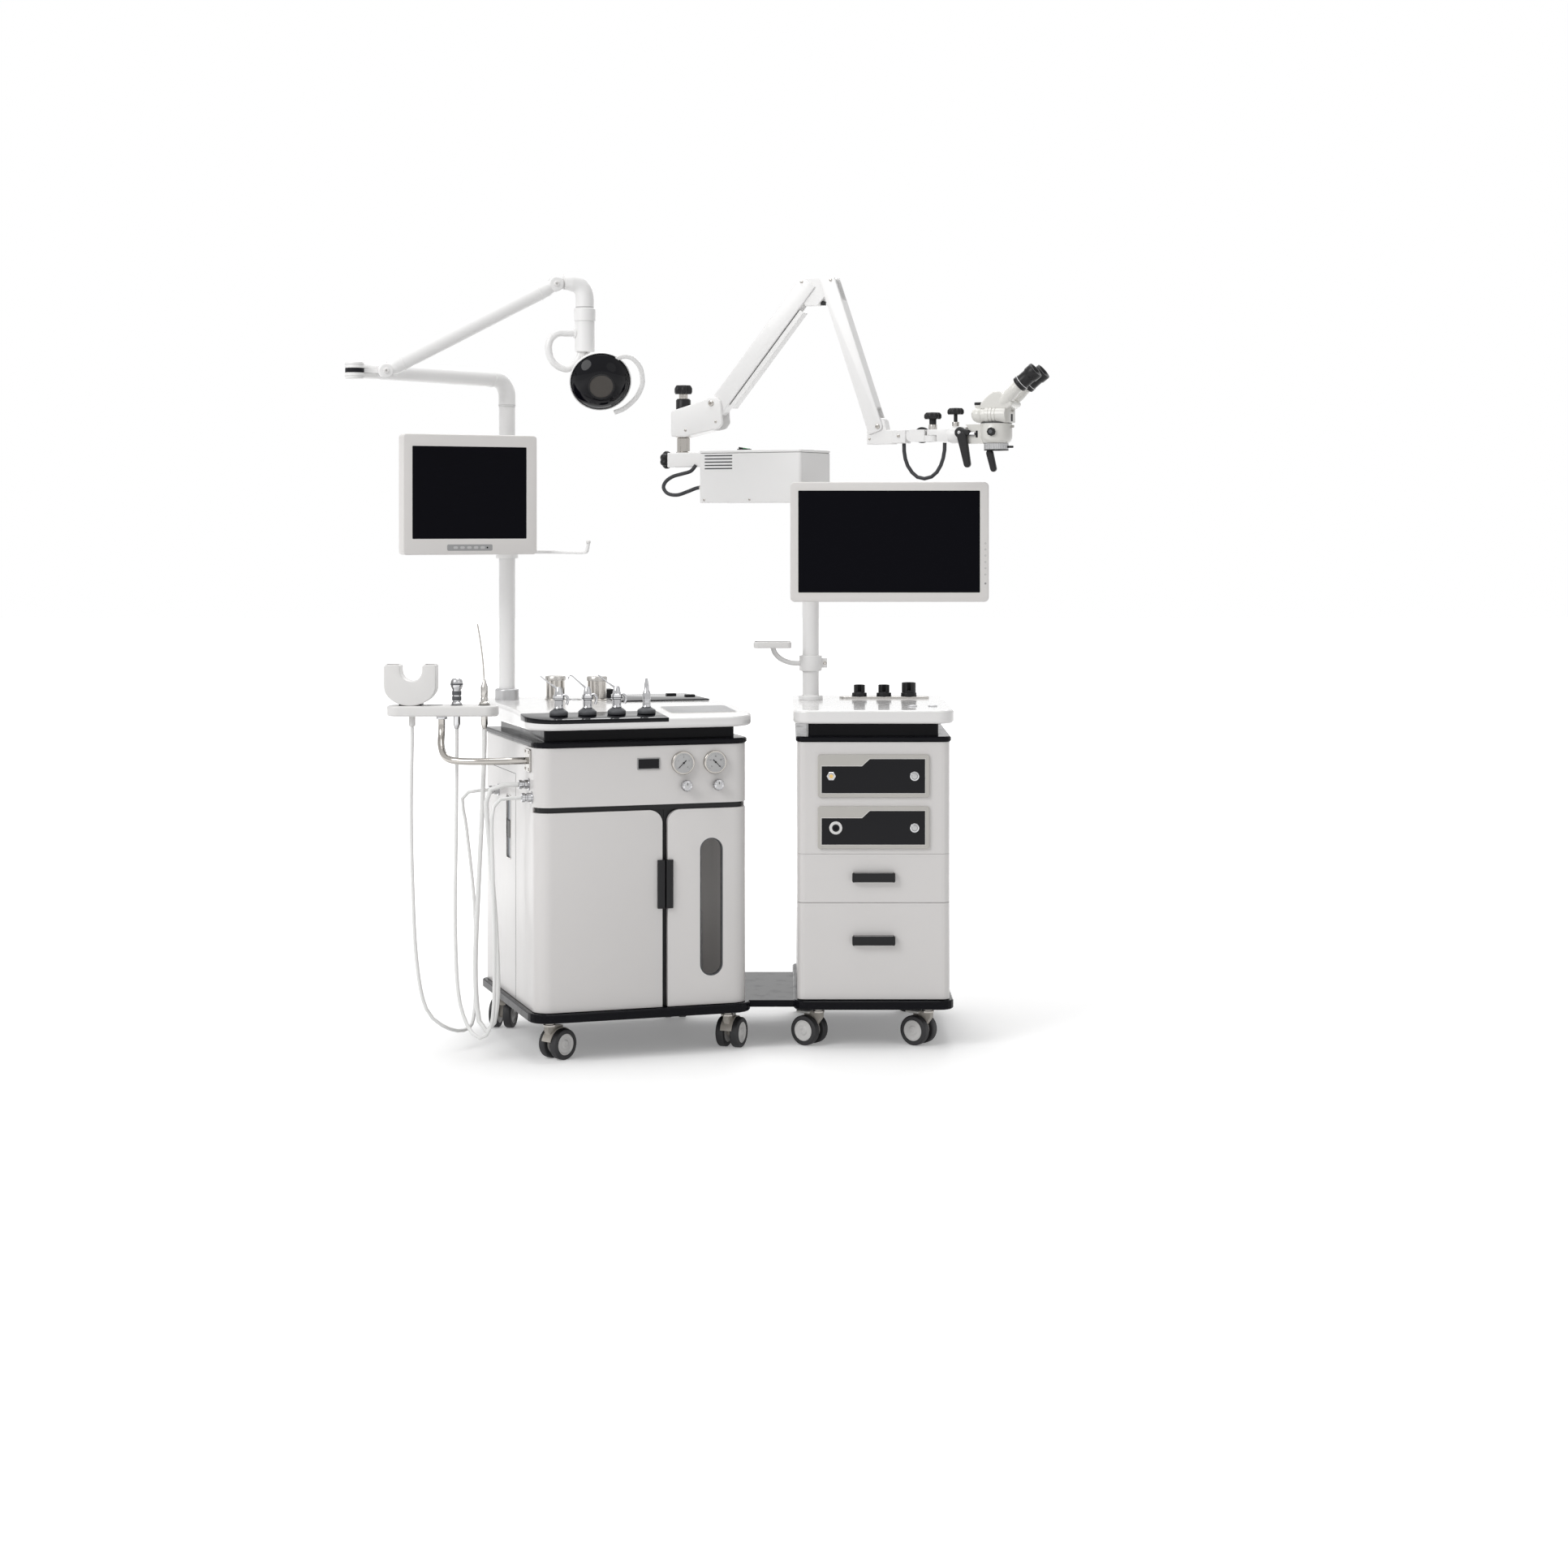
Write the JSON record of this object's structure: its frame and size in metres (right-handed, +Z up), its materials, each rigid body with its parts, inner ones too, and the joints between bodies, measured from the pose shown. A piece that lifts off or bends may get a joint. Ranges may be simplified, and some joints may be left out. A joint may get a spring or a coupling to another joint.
{
  "type": "ent treatment unit",
  "caption": "Ear, nose and throat treatment unit: two wheeled cabinets joined by a low plate, with lamp, monitors, tool rack and a microscope on a folding arm.",
  "frame": {"origin": "on the floor, under the middle of the bounding box of the solid pieces", "axes": "+X to the right along the front of the scope cabinet, +Y to its back, +Z up"},
  "size_m": [1.7466, 0.8371, 1.9699],
  "materials": {
    "air_nozzle": "polished",
    "doctor_monitor": "white satin",
    "ear_cup_hose": "pale silicone",
    "front_fibre_cable": "black sheath",
    "irrigator_handpiece": "polished",
    "irrigator_hose": "pale silicone",
    "lamp_drop_tube": "white powder coat",
    "lamp_elbow": "white powder coat",
    "lamp_head": "white satin",
    "lamp_knuckle": "white powder coat",
    "lamp_lower_arm": "white powder coat",
    "lamp_pole": "white paint",
    "lamp_spring_arm": "white powder coat",
    "large_drawer": "white lacquered board",
    "light_box": "white satin",
    "microscope_arm_base": "white powder coat",
    "microscope_arm_link": "white powder coat",
    "microscope_body": "cream enamel",
    "microscope_carriage": "cream enamel",
    "microscope_end_bracket": "white powder coat",
    "microscope_lower_arm": "white powder coat",
    "microscope_upper_arm": "white powder coat",
    "patient_monitor": "white satin",
    "pressure_knob": "polished",
    "scope_base_plate": "black laminate",
    "scope_caster_fork_1": "beige nylon",
    "scope_caster_fork_2": "beige nylon",
    "scope_caster_fork_3": "beige nylon",
    "scope_caster_fork_4": "beige nylon",
    "scope_caster_wheels_1": "black tyre round a grey hub",
    "scope_caster_wheels_2": "black tyre round a grey hub",
    "scope_caster_wheels_3": "black tyre round a grey hub",
    "scope_caster_wheels_4": "black tyre round a grey hub",
    "scope_pole": "white paint",
    "scope_shell": "white lacquered board",
    "scope_trim": "black laminate",
    "scope_worktop": "white gloss",
    "small_drawer": "white lacquered board",
    "spray_gun_1": "polished",
    "spray_gun_2": "polished",
    "spray_gun_3": "polished",
    "suction_handpiece": "polished",
    "suction_hose": "pale silicone",
    "tool_rack": "white satin",
    "tray_arm": "white powder coat",
    "treatment_base_plate": "black laminate",
    "treatment_caster_fork_1": "beige nylon",
    "treatment_caster_fork_2": "beige nylon",
    "treatment_caster_fork_3": "beige nylon",
    "treatment_caster_fork_4": "beige nylon",
    "treatment_caster_wheels_1": "black tyre round a grey hub",
    "treatment_caster_wheels_2": "black tyre round a grey hub",
    "treatment_caster_wheels_3": "black tyre round a grey hub",
    "treatment_caster_wheels_4": "black tyre round a grey hub",
    "treatment_narrow_door": "white lacquered board",
    "treatment_shell": "white lacquered board",
    "treatment_trim": "black laminate",
    "treatment_wide_door": "white lacquered board",
    "treatment_worktop": "white gloss",
    "vacuum_knob": "polished"
  },
  "bodies": {
    "cabinets": {"scope_base_plate": "scope_base_plate", "scope_shell": "scope_shell", "scope_trim": "scope_trim", "scope_worktop": "scope_worktop", "scope_pole": "scope_pole", "treatment_base_plate": "treatment_base_plate", "treatment_shell": "treatment_shell", "treatment_trim": "treatment_trim", "treatment_worktop": "treatment_worktop", "lamp_pole": "lamp_pole", "tool_rack": "tool_rack", "ear_cup_hose": "ear_cup_hose", "irrigator_hose": "irrigator_hose", "suction_hose": "suction_hose"},
    "wide_door": {"treatment_wide_door": "treatment_wide_door"},
    "narrow_door": {"treatment_narrow_door": "treatment_narrow_door"},
    "microscope_end_bracket": {"microscope_end_bracket": "microscope_end_bracket", "front_fibre_cable": "front_fibre_cable"},
    "large_drawer": {"large_drawer": "large_drawer"},
    "small_drawer": {"small_drawer": "small_drawer"},
    "lamp_lower_arm": {"lamp_lower_arm": "lamp_lower_arm"},
    "lamp_knuckle": {"lamp_knuckle": "lamp_knuckle"},
    "lamp_spring_arm": {"lamp_spring_arm": "lamp_spring_arm"},
    "lamp_elbow": {"lamp_elbow": "lamp_elbow"},
    "lamp_drop_tube": {"lamp_drop_tube": "lamp_drop_tube"},
    "lamp_head": {"lamp_head": "lamp_head"},
    "light_box": {"light_box": "light_box"},
    "microscope_arm_base": {"microscope_arm_base": "microscope_arm_base"},
    "microscope_lower_arm": {"microscope_lower_arm": "microscope_lower_arm"},
    "microscope_arm_link": {"microscope_arm_link": "microscope_arm_link"},
    "microscope_upper_arm": {"microscope_upper_arm": "microscope_upper_arm"},
    "microscope_carriage": {"microscope_carriage": "microscope_carriage"},
    "microscope_body": {"microscope_body": "microscope_body"},
    "doctor_monitor": {"doctor_monitor": "doctor_monitor"},
    "patient_monitor": {"patient_monitor": "patient_monitor"},
    "tray_arm": {"tray_arm": "tray_arm"},
    "pressure_knob": {"pressure_knob": "pressure_knob"},
    "vacuum_knob": {"vacuum_knob": "vacuum_knob"},
    "spray_gun_1": {"spray_gun_1": "spray_gun_1"},
    "spray_gun_2": {"spray_gun_2": "spray_gun_2"},
    "spray_gun_3": {"spray_gun_3": "spray_gun_3"},
    "air_nozzle": {"air_nozzle": "air_nozzle"},
    "irrigator_handpiece": {"irrigator_handpiece": "irrigator_handpiece"},
    "suction_handpiece": {"suction_handpiece": "suction_handpiece"},
    "treatment_caster_fork_1": {"treatment_caster_fork_1": "treatment_caster_fork_1"},
    "treatment_caster_wheels_1": {"treatment_caster_wheels_1": "treatment_caster_wheels_1"},
    "treatment_caster_fork_2": {"treatment_caster_fork_2": "treatment_caster_fork_2"},
    "treatment_caster_wheels_2": {"treatment_caster_wheels_2": "treatment_caster_wheels_2"},
    "treatment_caster_fork_3": {"treatment_caster_fork_3": "treatment_caster_fork_3"},
    "treatment_caster_wheels_3": {"treatment_caster_wheels_3": "treatment_caster_wheels_3"},
    "treatment_caster_fork_4": {"treatment_caster_fork_4": "treatment_caster_fork_4"},
    "treatment_caster_wheels_4": {"treatment_caster_wheels_4": "treatment_caster_wheels_4"},
    "scope_caster_fork_1": {"scope_caster_fork_1": "scope_caster_fork_1"},
    "scope_caster_wheels_1": {"scope_caster_wheels_1": "scope_caster_wheels_1"},
    "scope_caster_fork_2": {"scope_caster_fork_2": "scope_caster_fork_2"},
    "scope_caster_wheels_2": {"scope_caster_wheels_2": "scope_caster_wheels_2"},
    "scope_caster_fork_3": {"scope_caster_fork_3": "scope_caster_fork_3"},
    "scope_caster_wheels_3": {"scope_caster_wheels_3": "scope_caster_wheels_3"},
    "scope_caster_fork_4": {"scope_caster_fork_4": "scope_caster_fork_4"},
    "scope_caster_wheels_4": {"scope_caster_wheels_4": "scope_caster_wheels_4"}
  },
  "joints": [
    {"name": "wide_door_hinge", "type": "hinge", "parent": "cabinets", "child": "wide_door", "pos_m": [-0.41807, -0.37019, 0.121], "axis": [0, 0, -1], "range_deg": [0, 105]},
    {"name": "narrow_door_hinge", "type": "hinge", "parent": "cabinets", "child": "narrow_door", "pos_m": [0.09308, -0.19916, 0.121], "axis": [0, 0, 1], "range_deg": [0, 92]},
    {"name": "large_drawer_slide", "type": "slide", "parent": "cabinets", "child": "large_drawer", "axis": [0, -1, 0], "range_m": [0, 0.36]},
    {"name": "small_drawer_slide", "type": "slide", "parent": "cabinets", "child": "small_drawer", "axis": [0, -1, 0], "range_m": [0, 0.36]},
    {"name": "lamp_arm_swing", "type": "hinge", "parent": "cabinets", "child": "lamp_lower_arm", "pos_m": [-0.52524, 0.06985, 1.608], "axis": [0, 0, 1], "range_deg": [-45, 45]},
    {"name": "lamp_knuckle_turn", "type": "hinge", "parent": "lamp_lower_arm", "child": "lamp_knuckle", "pos_m": [-0.84941, -0.37192, 1.671], "axis": [0, 0, 1], "range_deg": [-80, 0]},
    {"name": "lamp_spring_arm_pitch", "type": "hinge", "parent": "lamp_knuckle", "child": "lamp_spring_arm", "pos_m": [-0.77907, -0.34893, 1.677], "axis": [-0.3107, 0.9505, 0], "range_deg": [-12, 32]},
    {"name": "lamp_elbow_level", "type": "hinge", "parent": "lamp_spring_arm", "child": "lamp_elbow", "pos_m": [-0.37605, -0.2172, 1.9], "axis": [-0.3107, 0.9505, 0], "range_deg": [-32, 12]},
    {"name": "lamp_drop_turn", "type": "hinge", "parent": "lamp_elbow", "child": "lamp_drop_tube", "pos_m": [-0.3042, -0.19372, 1.842], "axis": [0, 0, 1], "range_deg": [-120, 120]},
    {"name": "lamp_head_tilt", "type": "hinge", "parent": "lamp_drop_tube", "child": "lamp_head", "pos_m": [-0.3042, -0.19372, 1.724], "axis": [0.9505, 0.3107, 0], "range_deg": [-18, 22]},
    {"name": "light_box_turn", "type": "hinge", "parent": "cabinets", "child": "light_box", "pos_m": [0.26259, 0.17808, 1.36], "axis": [0, 0, 1], "range_deg": [-18, 18]},
    {"name": "microscope_arm_turn", "type": "hinge", "parent": "light_box", "child": "microscope_arm_base", "pos_m": [-0.07931, 0.36488, 1.537], "axis": [0, 0, 1], "range_deg": [-50, 50]},
    {"name": "lower_arm_pitch", "type": "hinge", "parent": "microscope_arm_base", "child": "microscope_lower_arm", "pos_m": [0.00857, 0.32575, 1.6276], "axis": [0.4067, 0.9135, 0], "range_deg": [-18, 3]},
    {"name": "arm_link_level", "type": "hinge", "parent": "microscope_lower_arm", "child": "microscope_arm_link", "pos_m": [0.24701, 0.21959, 1.9442], "axis": [0.4067, 0.9135, 0], "range_deg": [-3, 18]},
    {"name": "upper_arm_pitch", "type": "hinge", "parent": "microscope_arm_link", "child": "microscope_upper_arm", "pos_m": [0.3231, 0.18571, 1.9459], "axis": [0.4067, 0.9135, 0], "range_deg": [-18, 8]},
    {"name": "end_bracket_level", "type": "hinge", "parent": "microscope_upper_arm", "child": "microscope_end_bracket", "pos_m": [0.44461, 0.13162, 1.5587], "axis": [0.4067, 0.9135, 0], "range_deg": [-8, 18]},
    {"name": "microscope_carriage_turn", "type": "hinge", "parent": "microscope_end_bracket", "child": "microscope_carriage", "pos_m": [0.57844, 0.07203, 1.515], "axis": [0, 0, 1], "range_deg": [-50, 50]},
    {"name": "microscope_tilt", "type": "hinge", "parent": "microscope_carriage", "child": "microscope_body", "pos_m": [0.65152, 0.03949, 1.538], "axis": [0.4067, 0.9135, 0], "range_deg": [-18, 25]},
    {"name": "doctor_monitor_swing", "type": "hinge", "parent": "cabinets", "child": "doctor_monitor", "pos_m": [0.26259, 0.17808, 1.258], "axis": [0, 0, 1], "range_deg": [-40, 40]},
    {"name": "patient_monitor_swing", "type": "hinge", "parent": "cabinets", "child": "patient_monitor", "pos_m": [-0.52524, 0.06985, 1.215], "axis": [0, 0, 1], "range_deg": [-50, 40]},
    {"name": "tray_arm_swing", "type": "hinge", "parent": "cabinets", "child": "tray_arm", "pos_m": [0.26259, 0.17808, 0.9385], "axis": [0, 0, 1], "range_deg": [-60, 60]},
    {"name": "pressure_knob_turn", "type": "hinge", "parent": "cabinets", "child": "pressure_knob", "pos_m": [-0.05007, -0.29135, 0.6626], "axis": [0.3173, -0.9483, 0], "range_deg": [-150, 150]},
    {"name": "vacuum_knob_turn", "type": "hinge", "parent": "cabinets", "child": "vacuum_knob", "pos_m": [0.02674, -0.26564, 0.6626], "axis": [0.3173, -0.9483, 0], "range_deg": [-150, 150]},
    {"name": "spray_gun_1_lift", "type": "slide", "parent": "cabinets", "child": "spray_gun_1", "axis": [0, 0, 1], "range_m": [0, 0.12]},
    {"name": "spray_gun_2_lift", "type": "slide", "parent": "cabinets", "child": "spray_gun_2", "axis": [0, 0, 1], "range_m": [0, 0.12]},
    {"name": "spray_gun_3_lift", "type": "slide", "parent": "cabinets", "child": "spray_gun_3", "axis": [0, 0, 1], "range_m": [0, 0.12]},
    {"name": "air_nozzle_lift", "type": "slide", "parent": "cabinets", "child": "air_nozzle", "axis": [0, 0, 1], "range_m": [0, 0.12]},
    {"name": "irrigator_handpiece_lift", "type": "slide", "parent": "cabinets", "child": "irrigator_handpiece", "axis": [0, 0, 1], "range_m": [0, 0.15]},
    {"name": "suction_handpiece_lift", "type": "slide", "parent": "cabinets", "child": "suction_handpiece", "axis": [0, 0, 1], "range_m": [0, 0.15]},
    {"name": "treatment_caster_swivel_1", "type": "hinge", "parent": "cabinets", "child": "treatment_caster_fork_1", "pos_m": [-0.37771, -0.35531, 0], "axis": [0, 0, 1], "continuous": true},
    {"name": "treatment_caster_roll_1", "type": "hinge", "parent": "treatment_caster_fork_1", "child": "treatment_caster_wheels_1", "pos_m": [-0.35981, -0.33509, 0.0375], "axis": [0.749, -0.6626, 0], "continuous": true},
    {"name": "treatment_caster_swivel_2", "type": "hinge", "parent": "cabinets", "child": "treatment_caster_fork_2", "pos_m": [0.05188, -0.21157, 0], "axis": [0, 0, 1], "continuous": true},
    {"name": "treatment_caster_roll_2", "type": "hinge", "parent": "treatment_caster_fork_2", "child": "treatment_caster_wheels_2", "pos_m": [0.06178, -0.18645, 0.0375], "axis": [0.9304, -0.3665, 0], "continuous": true},
    {"name": "treatment_caster_swivel_3", "type": "hinge", "parent": "cabinets", "child": "treatment_caster_fork_3", "pos_m": [-0.52922, 0.09751, 0], "axis": [0, 0, 1], "continuous": true},
    {"name": "treatment_caster_roll_3", "type": "hinge", "parent": "treatment_caster_fork_3", "child": "treatment_caster_wheels_3", "pos_m": [-0.5346, 0.07106, 0.0375], "axis": [-0.9799, 0.1994, 0], "continuous": true},
    {"name": "treatment_caster_swivel_4", "type": "hinge", "parent": "cabinets", "child": "treatment_caster_fork_4", "pos_m": [-0.09963, 0.24125, 0], "axis": [0, 0, 1], "continuous": true},
    {"name": "treatment_caster_roll_4", "type": "hinge", "parent": "treatment_caster_fork_4", "child": "treatment_caster_wheels_4", "pos_m": [-0.09564, 0.21455, 0.0375], "axis": [-0.989, -0.1478, 0], "continuous": true},
    {"name": "scope_caster_swivel_1", "type": "hinge", "parent": "cabinets", "child": "scope_caster_fork_1", "pos_m": [0.27859, -0.16692, 0], "axis": [0, 0, 1], "continuous": true},
    {"name": "scope_caster_roll_1", "type": "hinge", "parent": "scope_caster_fork_1", "child": "scope_caster_wheels_1", "pos_m": [0.25647, -0.15143, 0.0375], "axis": [0.5736, 0.8192, 0], "continuous": true},
    {"name": "scope_caster_swivel_2", "type": "hinge", "parent": "cabinets", "child": "scope_caster_fork_2", "pos_m": [0.55259, -0.16692, 0], "axis": [0, 0, 1], "continuous": true},
    {"name": "scope_caster_roll_2", "type": "hinge", "parent": "scope_caster_fork_2", "child": "scope_caster_wheels_2", "pos_m": [0.53047, -0.15143, 0.0375], "axis": [0.5736, 0.8192, 0], "continuous": true},
    {"name": "scope_caster_swivel_3", "type": "hinge", "parent": "cabinets", "child": "scope_caster_fork_3", "pos_m": [0.27859, 0.29808, 0], "axis": [0, 0, 1], "continuous": true},
    {"name": "scope_caster_roll_3", "type": "hinge", "parent": "scope_caster_fork_3", "child": "scope_caster_wheels_3", "pos_m": [0.25521, 0.28458, 0.0375], "axis": [-0.5, 0.866, 0], "continuous": true},
    {"name": "scope_caster_swivel_4", "type": "hinge", "parent": "cabinets", "child": "scope_caster_fork_4", "pos_m": [0.55259, 0.29808, 0], "axis": [0, 0, 1], "continuous": true},
    {"name": "scope_caster_roll_4", "type": "hinge", "parent": "scope_caster_fork_4", "child": "scope_caster_wheels_4", "pos_m": [0.52921, 0.31158, 0.0375], "axis": [0.5, 0.866, 0], "continuous": true}
  ],
  "couplings": [
    {"joint": "lamp_elbow_level", "follows": "lamp_spring_arm_pitch", "ratio": -1},
    {"joint": "arm_link_level", "follows": "lower_arm_pitch", "ratio": -1},
    {"joint": "end_bracket_level", "follows": "upper_arm_pitch", "ratio": -1}
  ]
}
